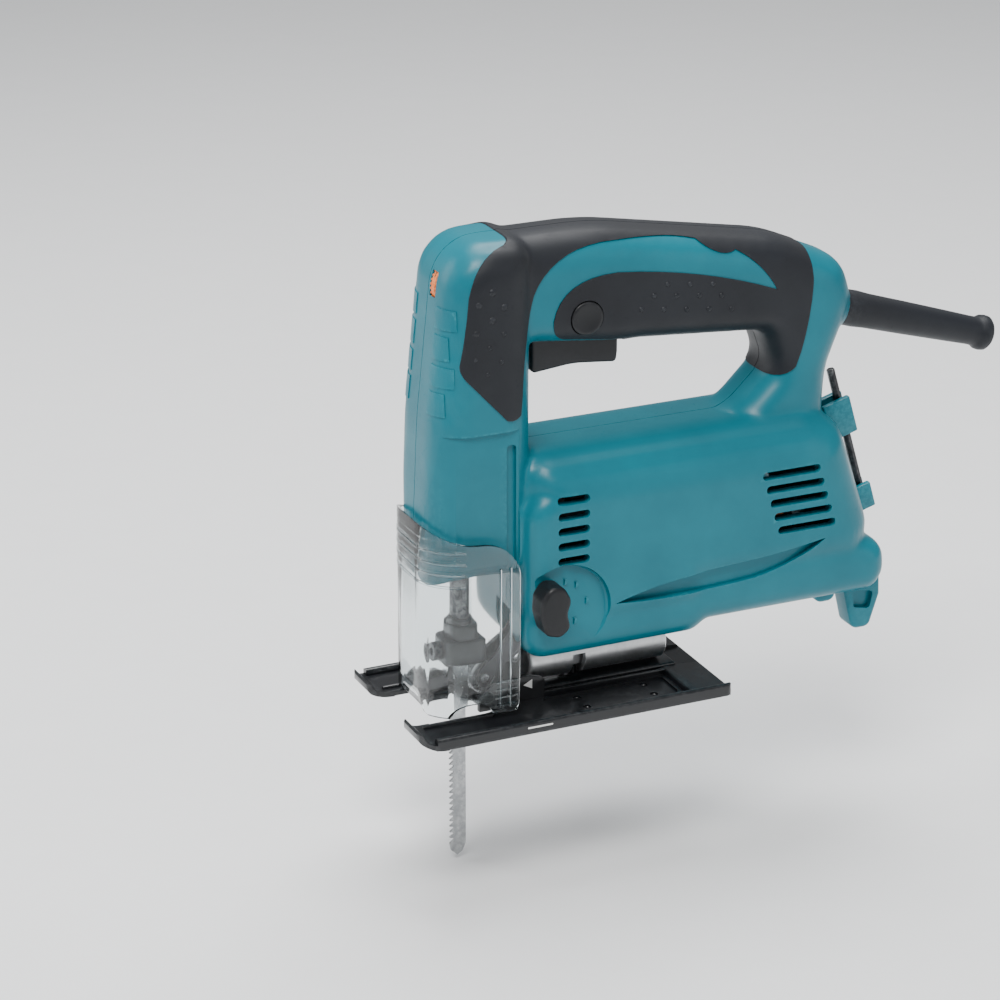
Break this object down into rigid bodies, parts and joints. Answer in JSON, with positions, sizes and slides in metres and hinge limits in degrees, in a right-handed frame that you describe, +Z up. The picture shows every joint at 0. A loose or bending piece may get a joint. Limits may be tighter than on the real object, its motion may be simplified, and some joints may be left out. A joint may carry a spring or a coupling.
{
  "type": "jigsaw power tool",
  "caption": "Corded jigsaw with a closed top handle, trigger, speed dial, orbital lever, clear dust cover and a tilting shoe, with its blade driven by a motor, gear and yoke.",
  "frame": {"origin": "on the shoe's underside, on the blade's centre plane, on the solid strip between the blade throat and the clamp channel", "axes": "+Z up from the sole, -X the cutting direction, +Y the operator's right when facing forwards"},
  "size_m": [0.2703, 0.0773, 0.261],
  "materials": {
    "teal_plastic": "fine satin moulding texture",
    "soft_grip": "matt soft-touch overmould",
    "black_plastic": "satin",
    "orange_plastic": "satin",
    "clear_plastic": "clear, polished",
    "black_steel": "black coating",
    "steel": "ground and turned",
    "die_cast": "satin die-cast",
    "copper": "enamelled copper",
    "circuit_board": "green solder mask"
  },
  "bodies": {
    "housing": {"housing_left": "teal_plastic", "housing_right": "teal_plastic", "grip_left": "soft_grip", "grip_right": "soft_grip", "switch_body": "black_plastic", "speed_board": "circuit_board", "capacitor": "black_plastic", "cord_guard": "soft_grip", "cord_clamp": "black_plastic", "front_bearing": "steel", "rear_bearing": "steel", "stator_core": "steel", "field_coil_top": "copper", "field_coil_bottom": "copper", "brush_holder_left": "black_plastic", "brush_holder_right": "black_plastic", "carbon_brush_left": "black_plastic", "carbon_brush_right": "black_plastic", "gear_housing": "die_cast", "gear_pin": "steel", "slider_guide": "steel", "slider_bush_lower": "copper", "slider_bush_upper": "copper", "tilt_cylinder": "die_cast", "housing_screw_1": "steel", "housing_screw_2": "steel", "housing_screw_3": "steel", "housing_screw_4": "steel", "housing_screw_5": "steel", "housing_screw_6": "steel", "housing_screw_7": "steel", "housing_screw_8": "steel"},
    "armature": {"armature_shaft": "steel", "armature_core": "steel", "armature_windings": "copper", "commutator": "copper", "cooling_fan": "black_plastic"},
    "gear": {"drive_gear": "steel", "crank_pin": "steel", "crank_roller": "steel"},
    "slider": {"slider_rod": "steel", "blade_clamp": "black_steel", "blade_clamp_screw": "steel", "saw_blade": "steel"},
    "trigger": {"trigger": "black_plastic"},
    "lock_button": {"lock_button": "black_plastic"},
    "speed_dial": {"speed_dial": "orange_plastic"},
    "orbital_lever": {"orbital_lever": "black_plastic", "orbital_cam_shaft": "steel"},
    "roller_holder": {"roller_holder": "black_steel", "roller_pin": "steel"},
    "guide_roller": {"guide_roller": "steel"},
    "tilt_clamp": {"base_bolt": "steel", "clamp_nut": "steel"},
    "base_plate": {"base_plate": "black_steel"},
    "dust_cover": {"dust_cover": "clear_plastic"},
    "hex_key": {"hex_key": "steel"}
  },
  "joints": [
    {"name": "armature_spin", "type": "hinge", "parent": "housing", "child": "armature", "pos_m": [0.017, 0, 0.058], "axis": [1, 0, 0], "range_deg": [0, 945]},
    {"name": "gear_spin", "type": "hinge", "parent": "housing", "child": "gear", "pos_m": [0.017, 0, 0.083], "axis": [1, 0, 0], "range_deg": [-180.5, 0.5]},
    {"name": "slider_stroke", "type": "slide", "parent": "housing", "child": "slider", "axis": [0, 0, 1], "range_m": [-0.0001, 0.0181]},
    {"name": "trigger_pull", "type": "hinge", "parent": "housing", "child": "trigger", "pos_m": [0.042, 0, 0.1505], "axis": [0, 1, 0], "range_deg": [0, 7.5], "stiffness_Nm_per_rad": 0.8, "springref_deg": -5.73},
    {"name": "lock_press", "type": "slide", "parent": "housing", "child": "lock_button", "axis": [0, 1, 0], "range_m": [0, 0.003], "stiffness_N_per_m": 800, "springref_m": -0.003},
    {"name": "dial_turn", "type": "hinge", "parent": "housing", "child": "speed_dial", "pos_m": [-0.01812, -0.004, 0.17555], "axis": [0, 1, 0], "range_deg": [-135, 135]},
    {"name": "orbital_turn", "type": "hinge", "parent": "housing", "child": "orbital_lever", "pos_m": [0.007, -0.03, 0.048], "axis": [0, 1, 0], "range_deg": [-100, 0]},
    {"name": "holder_swing", "type": "hinge", "parent": "housing", "child": "roller_holder", "pos_m": [0.007, 0, 0.032], "axis": [0, 1, 0], "range_deg": [-4, 0], "stiffness_Nm_per_rad": 0.5, "springref_deg": 2.86},
    {"name": "roller_spin", "type": "hinge", "parent": "roller_holder", "child": "guide_roller", "pos_m": [-0.0097, 0, 0.014], "axis": [0, 1, 0], "continuous": true},
    {"name": "base_tilt", "type": "hinge", "parent": "housing", "child": "tilt_clamp", "pos_m": [0.017, 0, 0.0145], "axis": [1, 0, 0], "range_deg": [0, 45]},
    {"name": "base_slide", "type": "slide", "parent": "tilt_clamp", "child": "base_plate", "axis": [1, 0, 0], "range_m": [0, 0.012]},
    {"name": "cover_raise", "type": "slide", "parent": "housing", "child": "dust_cover", "axis": [0, 0, 1], "range_m": [-0.0001, 0.0481]},
    {"name": "key_release", "type": "slide", "parent": "housing", "child": "hex_key", "axis": [0.9594, 0, 0.2822], "range_m": [0, 0.02]}
  ],
  "couplings": [
    {"joint": "gear_spin", "follows": "armature_spin", "ratio": -0.19048},
    {"joint": "slider_stroke", "follows": "armature_spin", "m_per_rad": 0.0010913},
    {"joint": "cover_raise", "follows": "base_tilt", "m_per_rad": 0.061115}
  ]
}
